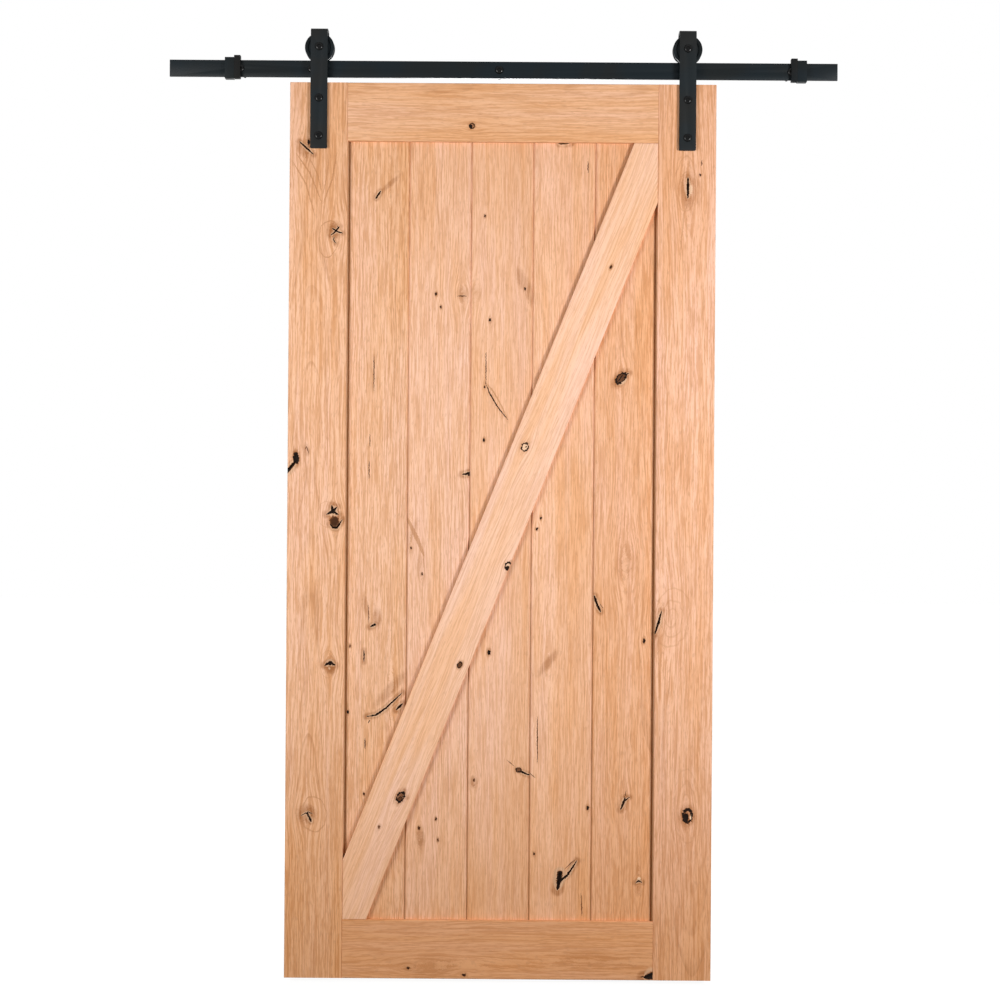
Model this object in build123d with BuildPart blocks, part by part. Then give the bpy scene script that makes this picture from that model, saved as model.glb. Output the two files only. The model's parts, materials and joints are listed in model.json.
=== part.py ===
"""Sliding barn door: a framed plank leaf with a diagonal brace, hung by wheeled straps from a flat track.

Millimetres. The wall face is the plane y = 0 and the room is on the -Y side.
A depth is a distance out of the wall. The middle track bolt is at x = 0, z = 0.
"""

from build123d import *

import os
from math import atan2, cos, sin

os.makedirs("parts", exist_ok=True)

# Door leaf
DOOR_WIDTH = 1016.0
DOOR_HEIGHT = 2133.6
DOOR_THICKNESS = 35.0
STILE_WIDTH = 138.0
RAIL_WIDTH = 139.5
EDGE_EASE = 1.2
PANEL_THICKNESS = 15.0
PANEL_BOARDS = 5
PANEL_ENTRY = 11.0
PANEL_SLACK = 0.1
GROOVE_DEPTH = 12.0
BOARD_GAP = 0.4
BOARD_VEE = 3.0
TONGUE_LENGTH = 6.0
TONGUE_THICKNESS = 5.0
TONGUE_SLACK = 0.2
BRACE_WIDTH = 105.0
BRACE_FIT = 0.3

# Track and its wall fixings
TRACK_LENGTH = 1595.0
TRACK_HEIGHT = 40.0
TRACK_THICKNESS = 6.0
TRACK_CENTRE_X = 10.0
TRACK_EASE = 0.6
SPACER_LENGTH = 30.0
SPACER_R = 9.5
INNER_BOLT_X = 448.0
BOLT_TUCK = 1.5
BOLT_R = 4.0
BOLT_HOLE_SLACK = 0.25
THREAD_R = 3.75
THREAD_LENGTH = 40.0
POINT_LENGTH = 6.0

# Button heads, their sockets and the nuts
HEAD_R = 9.5
HEAD_HEIGHT = 4.5
HEAD_TOP_R = 6.2
SOCKET_R = 4.2
SOCKET_DEPTH = 2.6
NUT_R = 8.5
NUT_HEIGHT = 5.0

# Hangers and wheels
TRACK_TO_DOOR = 14.5
WHEEL_R = 35.0
WHEEL_TREAD_R = 29.5
WHEEL_WIDTH = 22.0
WHEEL_GROOVE_SLACK = 0.5
WHEEL_GROOVE_FLARE = 1.0
WHEEL_FACE_RIM_R = 27.0
WHEEL_FACE_RECESS = 1.5
ROLL_SLACK = 0.2
BEARING_R = 11.0
BEARING_PROUD = 1.8
AXLE_R = 5.0
AXLE_SLACK = 0.05
AXLE_NUT_R = 9.0
STRAP_WIDTH = 40.0
STRAP_THICKNESS = 6.0
STRAP_TO_WHEEL = 2.0
STRAP_CROWN = 44.3
STRAP_BEND_R = 9.0
STRAP_CORNER_R = 3.0
STRAP_DROP = 158.0
STRAP_TAIL = 18.0
HANGER_BOLT_DROPS = (38.0, 128.0)

# End stops
STOP_INSET_LEFT = 169.8
STOP_INSET_RIGHT = 111.5
STOP_LENGTH = 22.0
STOP_WALL = 5.3
STOP_FRONT = 8.5
STOP_SLACK = 0.15
BUMPER_LENGTH = 15.0
BUMPER_RISE = 10.2
HEAD_POCKET_SLACK = 0.6
SET_SCREW_R = 3.0
SET_SCREW_PROUD = 1.0

# Depths out of the wall
TRACK_BACK = SPACER_LENGTH
TRACK_FRONT = TRACK_BACK + TRACK_THICKNESS
WHEEL_MID = (TRACK_BACK + TRACK_FRONT) / 2
WHEEL_FRONT = WHEEL_MID + WHEEL_WIDTH / 2
WHEEL_BACK = WHEEL_MID - WHEEL_WIDTH / 2
DOOR_FRONT = WHEEL_FRONT + STRAP_TO_WHEEL
DOOR_BACK = DOOR_FRONT - DOOR_THICKNESS
DOOR_MID = (DOOR_FRONT + DOOR_BACK) / 2
STRAP_FRONT = DOOR_FRONT + STRAP_THICKNESS
STRAP_TAIL_FRONT = WHEEL_BACK - STRAP_TO_WHEEL
STRAP_TAIL_BACK = STRAP_TAIL_FRONT - STRAP_THICKNESS

# Heights
TRACK_TOP = TRACK_HEIGHT / 2
DOOR_TOP = -TRACK_TOP - TRACK_TO_DOOR
DOOR_BOTTOM = DOOR_TOP - DOOR_HEIGHT
OPENING_TOP = DOOR_TOP - RAIL_WIDTH
OPENING_BOTTOM = DOOR_BOTTOM + RAIL_WIDTH
OPENING_MID = (OPENING_TOP + OPENING_BOTTOM) / 2
AXLE_Z = TRACK_TOP + ROLL_SLACK + WHEEL_TREAD_R

# Positions along the track
STOP_FACE_LEFT = TRACK_CENTRE_X - TRACK_LENGTH / 2 + STOP_INSET_LEFT
STOP_FACE_RIGHT = TRACK_CENTRE_X + TRACK_LENGTH / 2 - STOP_INSET_RIGHT
OPENING_WIDTH = DOOR_WIDTH - 2 * STILE_WIDTH
OPENING_HEIGHT = OPENING_TOP - OPENING_BOTTOM
BOARD_PITCH = OPENING_WIDTH / PANEL_BOARDS
HANGER_OFFSET = (DOOR_WIDTH - STILE_WIDTH) / 2
TRACK_BOLT_X = (
    STOP_FACE_LEFT - BOLT_TUCK,
    -INNER_BOLT_X,
    0.0,
    INNER_BOLT_X,
    STOP_FACE_RIGHT + BOLT_TUCK,
)
HANDS = (("left", -1, STOP_FACE_LEFT), ("right", 1, STOP_FACE_RIGHT))
HANGER_X = (TRACK_CENTRE_X - HANGER_OFFSET, TRACK_CENTRE_X + HANGER_OFFSET)
HANGER_BOLTS = [(x, DOOR_TOP - drop) for x in HANGER_X for drop in HANGER_BOLT_DROPS]


def save(piece, name):
    piece.part.label = name
    export_step(piece.part, f"parts/{name}.step")


def facing(x, depth, z):
    """A plane that faces the room at a depth out of the wall."""
    return Plane(origin=(x, -depth, z), x_dir=(1, 0, 0), z_dir=(0, -1, 0))


def turn(x, z, outline):
    """Turns (radius, depth) pairs about a line square to the wall, in the part being built."""
    with BuildSketch(Plane(origin=(x, 0, z))) as profile:
        with BuildLine():
            Polyline(*[(r, -depth) for r, depth in outline], close=True)
        make_face()
    revolve(profile.sketch, axis=Axis((x, 0, z), (0, 1, 0)))


def button_bolt(x, z, seat, radius, shank):
    """A bolt with a tapered head on its seat and a hexagon socket; shank is the outline below the head."""
    head_front = seat + HEAD_HEIGHT
    turn(x, z, [(0, head_front), (HEAD_TOP_R, head_front), (HEAD_R, seat), (radius, seat)] + shank)
    with BuildSketch(facing(x, head_front, z)) as socket:
        RegularPolygon(SOCKET_R, 6)
    extrude(socket.sketch, amount=-SOCKET_DEPTH, mode=Mode.SUBTRACT)


def hex_nut(x, z, seat, radius, bore):
    with BuildSketch(facing(x, seat, z)) as hexagon:
        RegularPolygon(radius, 6)
        Circle(bore, mode=Mode.SUBTRACT)
    extrude(hexagon.sketch, amount=-NUT_HEIGHT)


# Frame of the leaf: two full-height stiles with a groove for the panel
def stile(side):
    centre = TRACK_CENTRE_X + side * HANGER_OFFSET
    inner = TRACK_CENTRE_X + side * OPENING_WIDTH / 2
    with BuildPart() as piece:
        with BuildSketch(Plane.XY.offset(DOOR_BOTTOM)) as section:
            with Locations((centre, -DOOR_MID)):
                Rectangle(STILE_WIDTH, DOOR_THICKNESS)
            chamfer(section.vertices(), EDGE_EASE)
            with Locations((inner + side * GROOVE_DEPTH / 2, -DOOR_MID)):
                Rectangle(GROOVE_DEPTH, PANEL_THICKNESS + 2 * PANEL_SLACK, mode=Mode.SUBTRACT)
        extrude(amount=DOOR_HEIGHT)
        for drop in HANGER_BOLT_DROPS:
            with BuildSketch(facing(centre, DOOR_BACK, DOOR_TOP - drop)):
                Circle(BOLT_R + BOLT_HOLE_SLACK)
            extrude(amount=DOOR_THICKNESS, mode=Mode.SUBTRACT)
    return piece


# Rails between the stiles: stub tenons in the stile grooves and a groove along the panel edge
def rail(low, panel_side):
    left = TRACK_CENTRE_X - OPENING_WIDTH / 2
    middle = low + RAIL_WIDTH / 2
    groove_z = middle + panel_side * (RAIL_WIDTH - GROOVE_DEPTH) / 2
    tenon_z = middle - panel_side * GROOVE_DEPTH / 2
    with BuildPart() as piece:
        with BuildSketch(Plane.YZ.offset(left)) as section:
            with Locations((-DOOR_MID, middle)):
                Rectangle(DOOR_THICKNESS, RAIL_WIDTH)
            chamfer(section.vertices(), EDGE_EASE)
            with Locations((-DOOR_MID, groove_z)):
                Rectangle(PANEL_THICKNESS + 2 * PANEL_SLACK, GROOVE_DEPTH, mode=Mode.SUBTRACT)
        extrude(amount=OPENING_WIDTH)
        with BuildSketch(Plane.YZ.offset(left)):
            with Locations((-DOOR_MID, tenon_z)):
                Rectangle(PANEL_THICKNESS, RAIL_WIDTH - GROOVE_DEPTH)
        extrude(amount=-PANEL_ENTRY)
        with BuildSketch(Plane.YZ.offset(left + OPENING_WIDTH)):
            with Locations((-DOOR_MID, tenon_z)):
                Rectangle(PANEL_THICKNESS, RAIL_WIDTH - GROOVE_DEPTH)
        extrude(amount=PANEL_ENTRY)
    return piece


# Panel boards: tongue and groove edges, with a vee where two boards meet and beside each stile
def board(index):
    first = index == 0
    last = index == PANEL_BOARDS - 1
    left = TRACK_CENTRE_X - OPENING_WIDTH / 2 + index * BOARD_PITCH
    low_x = left - PANEL_ENTRY if first else left + BOARD_GAP / 2
    high_x = left + BOARD_PITCH + PANEL_ENTRY if last else left + BOARD_PITCH - BOARD_GAP / 2
    slot_length = TONGUE_LENGTH + TONGUE_SLACK
    with BuildPart() as piece:
        with BuildSketch(Plane.XY.offset(OPENING_BOTTOM - PANEL_ENTRY)) as section:
            with Locations(((low_x + high_x) / 2, -DOOR_MID)):
                Rectangle(high_x - low_x, PANEL_THICKNESS)
            corners = section.vertices().sort_by(Axis.X)
            if not first:
                chamfer(corners[:2], BOARD_VEE)
            if not last:
                chamfer(corners[2:], BOARD_VEE)
                with Locations((high_x + TONGUE_LENGTH / 2, -DOOR_MID)):
                    Rectangle(TONGUE_LENGTH, TONGUE_THICKNESS)
            if not first:
                with Locations((low_x + slot_length / 2, -DOOR_MID)):
                    Rectangle(slot_length, TONGUE_THICKNESS + 2 * TONGUE_SLACK, mode=Mode.SUBTRACT)
            if first or last:
                vee_x = left + BOARD_VEE if first else left + BOARD_PITCH - BOARD_VEE
                with Locations((vee_x, -DOOR_MID)):
                    with GridLocations(0, PANEL_THICKNESS, 1, 2):
                        RegularPolygon(BOARD_VEE, 4, mode=Mode.SUBTRACT)
        extrude(amount=OPENING_HEIGHT + 2 * PANEL_ENTRY)
    return piece


# Diagonal brace: laid on the boards, flush with the frame, its ends cut to the corner of the opening
def brace(depth, lean):
    angle = atan2(OPENING_HEIGHT, OPENING_WIDTH)
    along_rail = BRACE_WIDTH / 2 / sin(angle)
    along_stile = BRACE_WIDTH / 2 / cos(angle)
    x = OPENING_WIDTH / 2 - BRACE_FIT
    z = OPENING_HEIGHT / 2 - BRACE_FIT
    corner = [(x - along_rail, z), (x, z), (x, z - along_stile)]
    outline = corner + [(-px, -pz) for px, pz in corner]
    with BuildPart() as piece:
        with BuildSketch(facing(TRACK_CENTRE_X, depth, OPENING_MID)):
            with BuildLine():
                Polyline(*[(lean * px, pz) for px, pz in outline], close=True)
            make_face()
        extrude(amount=(DOOR_THICKNESS - PANEL_THICKNESS) / 2)
        chamfer(piece.faces().sort_by(Axis.Y)[0 if lean > 0 else -1].edges(), EDGE_EASE)
    return piece


# Flat track bar with a hole for each wall bolt
def track():
    with BuildPart() as piece:
        with BuildSketch(facing(TRACK_CENTRE_X, TRACK_BACK, 0)):
            Rectangle(TRACK_LENGTH, TRACK_HEIGHT)
        extrude(amount=TRACK_THICKNESS)
        chamfer(piece.edges().filter_by(Axis.X), TRACK_EASE)
        for x in TRACK_BOLT_X:
            with BuildSketch(facing(x, TRACK_BACK, 0)):
                Circle(BOLT_R + BOLT_HOLE_SLACK)
            extrude(amount=TRACK_THICKNESS, mode=Mode.SUBTRACT)
    return piece


# Tubes that hold the track off the wall
def wall_spacers():
    with BuildPart() as piece:
        for x in TRACK_BOLT_X:
            with BuildSketch(facing(x, 0, 0)):
                Circle(SPACER_R)
                Circle(BOLT_R + BOLT_HOLE_SLACK, mode=Mode.SUBTRACT)
            extrude(amount=SPACER_LENGTH)
    return piece


# Lag bolts through the track and spacers into the wall
def track_bolts():
    tip = -THREAD_LENGTH - POINT_LENGTH
    shank = [(BOLT_R, 0), (THREAD_R, 0), (THREAD_R, -THREAD_LENGTH), (0, tip)]
    with BuildPart() as piece:
        for x in TRACK_BOLT_X:
            button_bolt(x, 0, TRACK_FRONT, BOLT_R, shank)
    return piece


# Hanger strap: one flat bar bent over the wheel, bolted to the stile in front
def hanger_strap(x):
    crown = AXLE_Z + STRAP_CROWN
    low = DOOR_TOP - STRAP_DROP
    tail = AXLE_Z - STRAP_TAIL
    under = crown - STRAP_THICKNESS
    outline = [
        (-STRAP_FRONT, low),
        (-STRAP_FRONT, crown),
        (-STRAP_TAIL_BACK, crown),
        (-STRAP_TAIL_BACK, tail),
        (-STRAP_TAIL_FRONT, tail),
        (-STRAP_TAIL_FRONT, under),
        (-DOOR_FRONT, under),
        (-DOOR_FRONT, low),
    ]
    with BuildPart() as piece:
        with BuildSketch(Plane.YZ.offset(x)) as section:
            with BuildLine():
                Polyline(*outline, close=True)
            make_face()
            fillet(section.vertices().group_by(Axis.Y)[-1], STRAP_BEND_R)
            bends = section.vertices().filter_by_position(Axis.Y, under - 0.1, under + 0.1)
            fillet(bends, STRAP_BEND_R - STRAP_THICKNESS)
        extrude(amount=STRAP_WIDTH / 2, both=True)
        fillet(piece.edges().filter_by(Axis.Y).group_by(Axis.Z)[0], STRAP_CORNER_R)
        with BuildSketch(facing(x, 0, AXLE_Z)):
            Circle(AXLE_R + BOLT_HOLE_SLACK)
        extrude(amount=STRAP_FRONT, mode=Mode.SUBTRACT)
        for drop in HANGER_BOLT_DROPS:
            with BuildSketch(facing(x, DOOR_FRONT, DOOR_TOP - drop)):
                Circle(BOLT_R + BOLT_HOLE_SLACK)
            extrude(amount=STRAP_THICKNESS, mode=Mode.SUBTRACT)
    return piece


# Bolts through the strap and stile, with nuts on the back of the leaf
def hanger_bolts():
    end = DOOR_BACK - NUT_HEIGHT
    with BuildPart() as piece:
        for x, z in HANGER_BOLTS:
            button_bolt(x, z, STRAP_FRONT, BOLT_R, [(BOLT_R, end), (0, end)])
    return piece


def hanger_nuts():
    with BuildPart() as piece:
        for x, z in HANGER_BOLTS:
            hex_nut(x, z, DOOR_BACK, NUT_R, BOLT_R)
    return piece


# Axles across the two legs of each strap
def axle_bolts():
    end = STRAP_TAIL_BACK - NUT_HEIGHT
    with BuildPart() as piece:
        for x in HANGER_X:
            button_bolt(x, AXLE_Z, STRAP_FRONT, AXLE_R, [(AXLE_R, end), (0, end)])
    return piece


def axle_nuts():
    with BuildPart() as piece:
        for x in HANGER_X:
            hex_nut(x, AXLE_Z, STRAP_TAIL_BACK, AXLE_NUT_R, AXLE_R)
    return piece


# Wheel: dished faces, and a tread between two flanges that sits on the top edge of the track
def wheel(x):
    half_groove = TRACK_THICKNESS / 2 + WHEEL_GROOVE_SLACK
    half_mouth = half_groove + WHEEL_GROOVE_FLARE
    outline = [
        (BEARING_R, WHEEL_FRONT - WHEEL_FACE_RECESS),
        (WHEEL_FACE_RIM_R, WHEEL_FRONT),
        (WHEEL_R, WHEEL_FRONT),
        (WHEEL_R, WHEEL_MID + half_mouth),
        (WHEEL_TREAD_R, WHEEL_MID + half_groove),
        (WHEEL_TREAD_R, WHEEL_MID - half_groove),
        (WHEEL_R, WHEEL_MID - half_mouth),
        (WHEEL_R, WHEEL_BACK),
        (WHEEL_FACE_RIM_R, WHEEL_BACK),
        (BEARING_R, WHEEL_BACK + WHEEL_FACE_RECESS),
    ]
    with BuildPart() as piece:
        turn(x, AXLE_Z, outline)
    return piece


def bearing(x):
    bore = AXLE_R + AXLE_SLACK
    with BuildPart() as piece:
        with BuildSketch(facing(x, WHEEL_BACK - BEARING_PROUD, AXLE_Z)):
            Circle(BEARING_R)
            Circle(bore, mode=Mode.SUBTRACT)
        extrude(amount=WHEEL_WIDTH + 2 * BEARING_PROUD)
    return piece


# End stop: a sleeve on the track, held by a set screw from behind
def stop_centre(face, side):
    return face + side * (BUMPER_LENGTH + STOP_LENGTH / 2)


def stop(face, side):
    slot_depth = TRACK_THICKNESS + 2 * STOP_SLACK
    slot_height = TRACK_HEIGHT + 2 * STOP_SLACK
    front = TRACK_FRONT + STOP_FRONT
    back = TRACK_BACK - STOP_WALL
    middle = (front + back) / 2
    high = TRACK_TOP + STOP_WALL
    x = stop_centre(face, side)
    with BuildPart() as piece:
        with BuildSketch(Plane.YZ.offset(x)) as section:
            with Locations((-middle, 0)):
                Rectangle(front - back, 2 * high)
            chamfer(section.vertices(), EDGE_EASE)
            with Locations((-WHEEL_MID, 0)):
                Rectangle(slot_depth, slot_height, mode=Mode.SUBTRACT)
        extrude(amount=STOP_LENGTH / 2, both=True)
        with BuildSketch(facing(x, back, 0)):
            Circle(SET_SCREW_R)
        extrude(amount=STOP_WALL, mode=Mode.SUBTRACT)
    return piece


def stop_screws():
    back = TRACK_BACK - STOP_WALL - SET_SCREW_PROUD
    with BuildPart() as piece:
        for _, side, face in HANDS:
            with BuildSketch(facing(stop_centre(face, side), back, 0)):
                Circle(SET_SCREW_R)
            extrude(amount=TRACK_BACK - back)
    return piece


# Bumper on the stop's door side: taller than the stop, hollowed behind for the head of the end bolt
def stop_bumper(face, side):
    front = TRACK_FRONT + STOP_FRONT
    middle = (front + TRACK_BACK) / 2
    low = -TRACK_TOP - STOP_WALL
    high = TRACK_TOP + BUMPER_RISE
    slot_depth = TRACK_THICKNESS + STOP_SLACK
    with BuildPart() as piece:
        with BuildSketch(Plane.YZ.offset(face)) as section:
            with Locations((-middle, (low + high) / 2)):
                Rectangle(front - TRACK_BACK, high - low)
            chamfer(section.vertices(), EDGE_EASE)
            with Locations((-TRACK_BACK - slot_depth / 2, 0)):
                Rectangle(slot_depth, TRACK_HEIGHT + 2 * STOP_SLACK, mode=Mode.SUBTRACT)
        extrude(amount=side * BUMPER_LENGTH)
        with BuildSketch(facing(face + side * BOLT_TUCK, TRACK_FRONT, 0)):
            Circle(HEAD_R + HEAD_POCKET_SLACK)
        extrude(amount=HEAD_HEIGHT + HEAD_POCKET_SLACK, mode=Mode.SUBTRACT)
    return piece


save(stile(-1), "left_stile")
save(stile(1), "right_stile")
save(rail(OPENING_TOP, -1), "top_rail")
save(rail(DOOR_BOTTOM, 1), "bottom_rail")
for number in range(PANEL_BOARDS):
    save(board(number), f"panel_board_{number + 1}")
save(brace(DOOR_MID + PANEL_THICKNESS / 2, 1), "front_brace")
save(brace(DOOR_BACK, -1), "back_brace")

save(track(), "track_rail")
save(wall_spacers(), "wall_spacers")
save(track_bolts(), "track_bolts")

for (hand, side, stop_face), hanger_x in zip(HANDS, HANGER_X):
    save(hanger_strap(hanger_x), f"{hand}_hanger_strap")
    save(wheel(hanger_x), f"{hand}_wheel")
    save(bearing(hanger_x), f"{hand}_wheel_bearing")
    save(stop(stop_face, side), f"{hand}_stop")
    save(stop_bumper(stop_face, side), f"{hand}_stop_bumper")
save(hanger_bolts(), "hanger_bolts")
save(hanger_nuts(), "hanger_nuts")
save(axle_bolts(), "axle_bolts")
save(axle_nuts(), "axle_nuts")
save(stop_screws(), "stop_screws")
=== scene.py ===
"""Looks of the sliding barn door: a knotty alder leaf on a black coated track, straps and wheels.

Metres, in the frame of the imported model: +Z up, the wall plane at y = 0 and the room on the -Y side.
"""

import json
import math

import bmesh
import bpy
from mathutils import Matrix, Vector

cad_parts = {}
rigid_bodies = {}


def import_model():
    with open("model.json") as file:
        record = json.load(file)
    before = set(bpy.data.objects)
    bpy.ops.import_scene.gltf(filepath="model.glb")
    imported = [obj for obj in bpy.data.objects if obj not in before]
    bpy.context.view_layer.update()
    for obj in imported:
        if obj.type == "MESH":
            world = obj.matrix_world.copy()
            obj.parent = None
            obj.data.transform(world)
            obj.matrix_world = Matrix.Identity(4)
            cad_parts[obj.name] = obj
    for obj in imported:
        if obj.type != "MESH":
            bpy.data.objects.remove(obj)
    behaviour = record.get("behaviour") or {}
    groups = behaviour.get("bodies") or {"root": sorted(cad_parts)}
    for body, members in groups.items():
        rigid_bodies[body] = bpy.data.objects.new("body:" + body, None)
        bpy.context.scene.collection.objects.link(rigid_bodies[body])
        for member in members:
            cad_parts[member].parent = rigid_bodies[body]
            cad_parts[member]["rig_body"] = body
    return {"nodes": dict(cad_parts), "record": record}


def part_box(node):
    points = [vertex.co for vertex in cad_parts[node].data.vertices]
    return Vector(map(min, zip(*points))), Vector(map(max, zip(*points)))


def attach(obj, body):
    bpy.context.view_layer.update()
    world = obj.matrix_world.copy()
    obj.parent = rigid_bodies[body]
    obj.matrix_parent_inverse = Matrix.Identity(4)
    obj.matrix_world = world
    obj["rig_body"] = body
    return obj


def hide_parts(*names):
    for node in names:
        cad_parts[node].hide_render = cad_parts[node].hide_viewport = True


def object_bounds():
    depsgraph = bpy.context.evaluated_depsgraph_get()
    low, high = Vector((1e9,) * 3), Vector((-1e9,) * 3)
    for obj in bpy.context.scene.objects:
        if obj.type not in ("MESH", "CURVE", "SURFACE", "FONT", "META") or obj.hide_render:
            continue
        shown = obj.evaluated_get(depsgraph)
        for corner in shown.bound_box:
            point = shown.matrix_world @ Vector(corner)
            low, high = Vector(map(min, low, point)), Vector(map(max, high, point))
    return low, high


MM = 0.001

# Camera, fitted to the corners of the leaf and the ends of the track in the photograph
IMAGE_SIDE = 1000
FOCAL_PIXELS = 1660.3
SENSOR_MM = 36.0
CAMERA_PLACE = Vector((0.018, -4.0, -1.030))
CAMERA_PITCH = 0.0008
CAMERA_YAW = -0.0023
CAMERA_ROLL = 0.0071

# Floor and lights
FLOOR_GAP = 12 * MM
FLOOR_SIDE = 30.0
FLOOR_DIFFUSE = 0.16
FLOOR_GLOW = 0.90
FLOOR_FADE = (0.6, 2.2)
AMBIENT = 0.17
KEY_LIGHT = {"place": (2.1, -1.9, -0.74), "watts": 64, "width": 0.6, "height": 1.2}
FILL_LIGHT = {"place": (-2.1, -1.9, -0.66), "watts": 54, "width": 1.2, "height": 1.4}
BACK_LIGHT = {"place": (0.0, 2.6, -0.80), "watts": 60, "width": 0.8, "height": 1.4}
LIGHTS_AIM = Vector((0.0, 0.0, -0.76))

# Wood colours, linear
ALDER = (0.94, 0.565, 0.369)
HONEY = (0.91, 0.513, 0.297)
BLUSH = (0.95, 0.585, 0.415)
LATEWOOD = (0.50, 0.225, 0.095)
FIBRE_SHADE = (0.79, 0.69, 0.57)
STRAND_SHADE = (0.72, 0.58, 0.44)
# Painted shade, darker towards the door's bottom and in a band near its top: its filter, and the depths
# below the top where it comes in
END_SHADE_FILTER = (0.86, 0.75, 0.58)
LOW_SHADE_FROM = (1.4, 2.15)
TOP_SHADE_FROM = (0.7, 0.1)
TOP_SHADE_SHARE = 0.35
FLECK = (0.46, 0.22, 0.11)
HALO = (0.36, 0.135, 0.045)
BARK = (0.008, 0.003, 0.001)
FRINGE = (0.17, 0.055, 0.018)
# Paler wood in knots and beside cracks, partly a painted highlight
PALE_AND_HIGHLIGHT = (1.0, 0.74, 0.50)
# Painted shade on the panel: beside the raised edges of the stiles and the brace, and in the vee grooves
# between boards
EDGE_SHADE_COLOUR = (0.30, 0.18, 0.07)
VEE_SHADE = (0.34, 0.145, 0.042)
STILE_SHADE_FADE = (6.3 * MM, 10.8 * MM)
BRACE_SHADE_FADE = (0.0, 7 * MM)
EDGE_SHADE_SHARE = 0.45
VEE_SHADE_DEPTH = (0.4 * MM, 2.4 * MM)
VEE_SHADE_FROM = (0.35, 1.5)
VEE_SHADE_SHARES = (0.1, 0.5)
GLUE_BLUR = (-0.6 * MM, 0.6 * MM)
ALDER_FROM = (0.38, 0.52)
HONEY_FROM = (0.50, 0.64)
FRINGE_FROM = (0.0, 0.55)
BARK_FROM = (0.15, 0.95)
HALO_MOST = 0.92
RING_SHARE = 0.75
PALE_AND_HIGHLIGHT_SHARE = 0.8
WOOD_ROUGHNESS = (0.22, 0.48)
WOOD_GLOSS = 0.10
BUMP_STRENGTH = 0.5
FRONT_ONLY = (6 * MM, 9 * MM)

# Grain: how often it changes in a metre, across and along the fibres
FIBRE_SCALES = (360.0, 9.0)
FINE_SCALES = (620.0, 40.0)
FLECK_SCALES = (330.0, 55.0)
STRAND_SCALES = (95.0, 1.4)
RELIEF_SCALES = (400.0, 30.0)
CLOUD_SCALES = (11.0, 2.4)
STREAK_SCALES = (48.0, 1.3)
WANDER_SCALES = (5.0, 1.3)
WANDER = 30 * MM
RIPPLE_SCALES = (22.0, 8.0)
RIPPLE = 6 * MM
FIBRE_FROM = (0.43, 0.57)
FLECK_FROM = (0.59, 0.67)
STRANDS = 6.0
STRAND_EDGE = (0.02, 0.13)
FIBRE_WEIGHT = 0.68
LATE_SHARE = 0.42
STRAND_SHARE = 0.2
FLECK_SHARE = 0.28
RELIEF = 0.4 * MM
LATE_RISE = (0.58, 0.92)
LATE_FALL = (0.93, 1.0)

# Unevenness of all marks: how often it changes in a metre, and its reach
MARK_SHAKE = 4 * MM
SHAKE_SCALES = (190.0, 207.0)
RAGGED = (430.0, 0.7)
GRIT = (200.0, 1.0)
WAVE = (28.0, 0.45)

# Knots, in shares of their size, and the grain's bend round them
KNOT_HEART = (0.78, 1.0)
KNOT_EDGE = 0.95
KNOT_RIM = (0.10, 0.28)
KNOT_HALO = (0.8, 2.4)
OUTLINE = (0.01, 0.055)
OUTLINES_FROM = (0.1, 0.3)
OUTLINES_TO = (1.05, 1.1)
PULL = 0.82
PULL_REACH = (2.6, 4.2)

# Cracks, in shares of their width
CRACK_EDGE = (0.46, 0.72)
CRACK_LIP = (0.6, 0.9)
CRACK_LIP_END = (1.0, 1.9)
CRACK_THIN = 0.15
SWELL_POWER = 0.6
SMUDGE = 0.75
SMUDGE_REACH = 8 * MM

# Coats: name, colour, roughness, gloss, and the size and height of the orange peel
COATS = {
    "black_steel": ("black_coat", (0.0078, 0.0114, 0.0134), 0.42, 0.12, 0.45 * MM, 0.05 * MM),
    "bumper_rubber": ("bumper_rubber", (0.0085, 0.0095, 0.0100), 0.62, 0.10, 0.8 * MM, 0.06 * MM),
    "bolt_steel": ("bolt_finish", (0.0008, 0.0010, 0.0012), 0.16, 0.18, 0.35 * MM, 0.004 * MM),
    "hanger_steel": ("hanger_coat", (0.0115, 0.0140, 0.0150), 0.45, 0.14, 0.45 * MM, 0.05 * MM),
}
BARE_STEEL = ((0.42, 0.42, 0.43), (0.58, 0.58, 0.57))
SCRATCH_SCALES = (900.0, 5000.0, 900.0)
WARM_COAT = (1.15, 1.0, 0.92)
COOL_COAT = (0.88, 1.02, 1.12)
PLANK_EDGE = 0.5 * MM
METAL_EDGE = 0.7 * MM

# Open knots and cracks, cut from a little above the face
PIT_TOP = -0.4 * MM
PIT_RIM = 14
PIT_RINGS = 3
PIT_SHARE = 0.78
CRACK_PIT_SHARE = 0.45
CRACK_WAVER = 0.3

# Fasteners and wheels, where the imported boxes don't give the size
HEAD_HEIGHT = 4.5 * MM
HEAD_R = 9.5 * MM
HEAD_DOME = 5.0 * MM
SOCKET_R = 4.2 * MM
SOCKET_DEPTH = 2.6 * MM
SET_SOCKET_R = 1.8 * MM
SET_SOCKET_DEPTH = 2.2 * MM
BOLT_R = 4.0 * MM
AXLE_R = 5.0 * MM
BORE_SLACK = 0.25 * MM
THREAD_ROOT_R = 3.2 * MM
THREAD_CREST_R = 4.0 * MM
THREAD_PITCH = 2.8 * MM
POINT_LENGTH = 6.0 * MM
TREAD_R = 29.5 * MM
GROOVE_HALF = 3.5 * MM
MOUTH_HALF = 4.5 * MM
FACE_RIM_R = 27.0 * MM
FACE_RECESS = 1.5 * MM
BEARING_R = 11.0 * MM
RACE_WIDTH = 1.6 * MM
TURN_STEPS = 48
WHEEL_STEPS = 96

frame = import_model()
cad_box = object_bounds()
nodes = frame["nodes"]


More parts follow.
